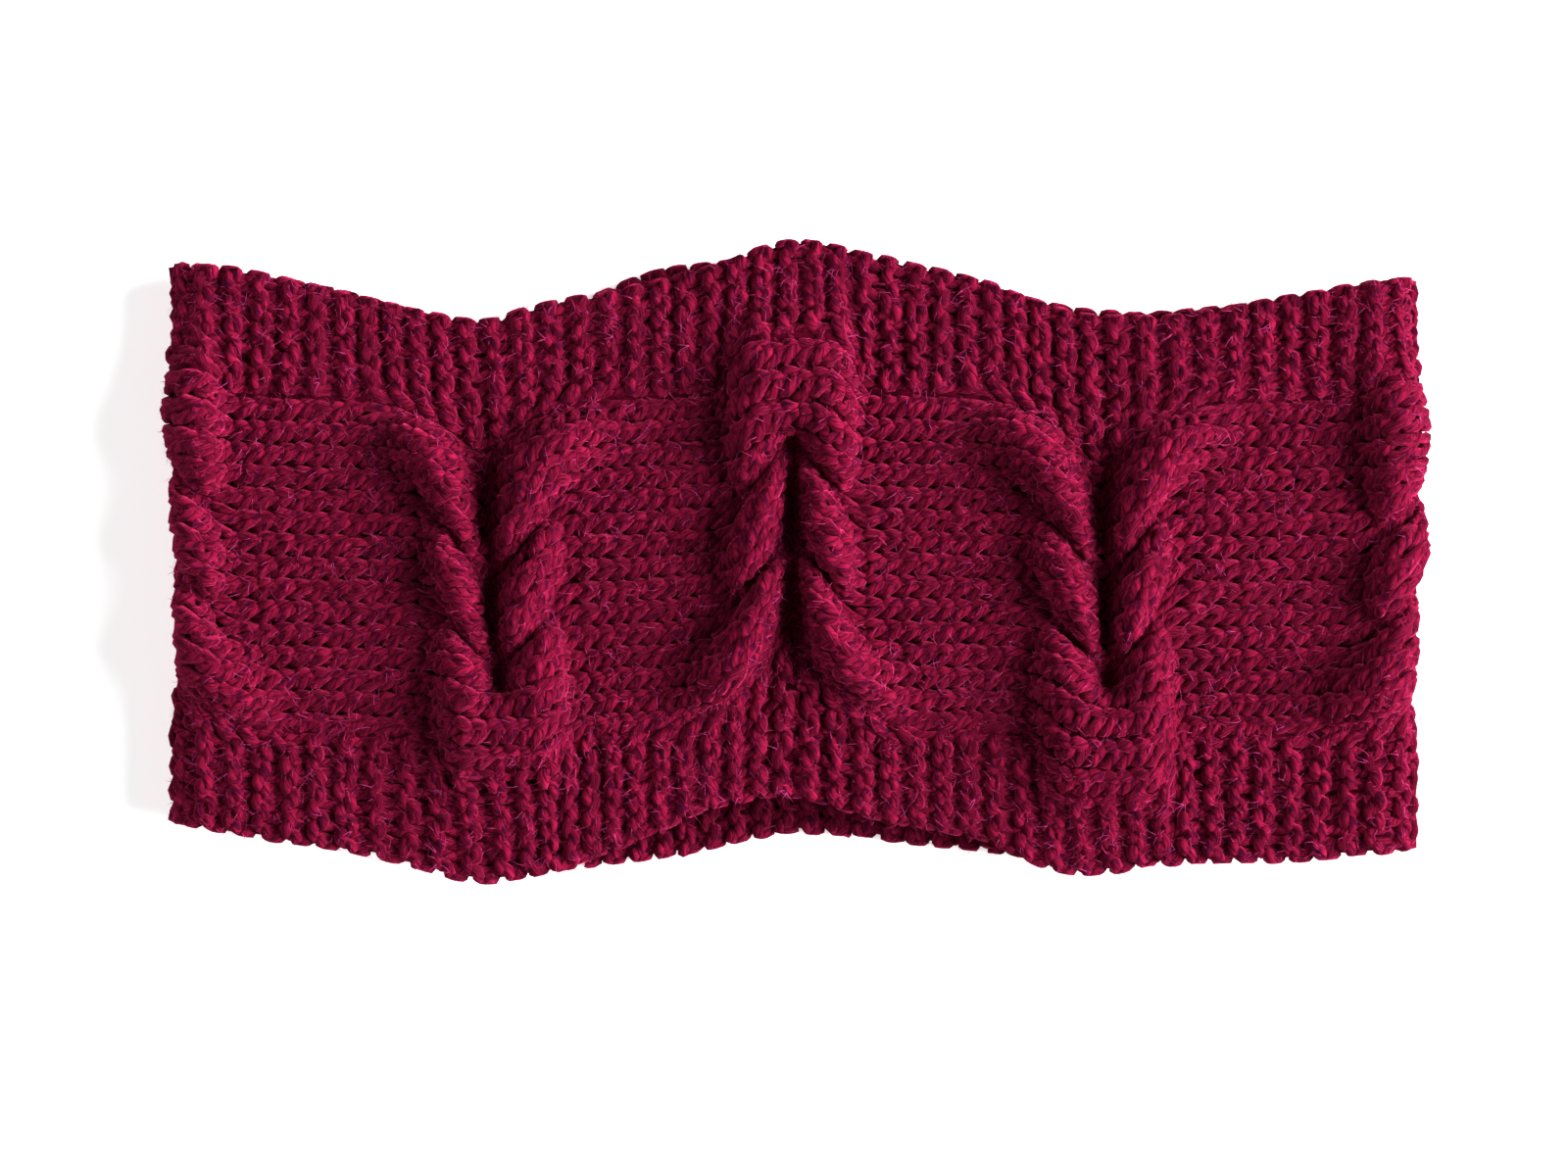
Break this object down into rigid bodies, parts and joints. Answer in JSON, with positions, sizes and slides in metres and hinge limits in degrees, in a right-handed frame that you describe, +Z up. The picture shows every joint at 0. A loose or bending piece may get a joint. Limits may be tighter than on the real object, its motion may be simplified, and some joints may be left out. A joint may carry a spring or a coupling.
{
  "type": "knit headband",
  "caption": "Wide cable-knit headband lying flat: a soft closed loop with ribbed borders and tall pleated cables, worn round the head over the ears.",
  "frame": {"origin": "under the middle of the flattened band, on the surface it lies on", "axes": "+X along the flattened loop from fold to fold, +Y across the band towards the edge that peaks over the middle cable, +Z up out of the upper layer"},
  "size_m": [0.2416, 0.1192, 0.0233],
  "materials": {
    "wool_knit": "soft matt wool yarn, heathered raspberry and plum, slightly fuzzy"
  },
  "bodies": {
    "root": {"band": "wool_knit"}
  },
  "joints": []
}
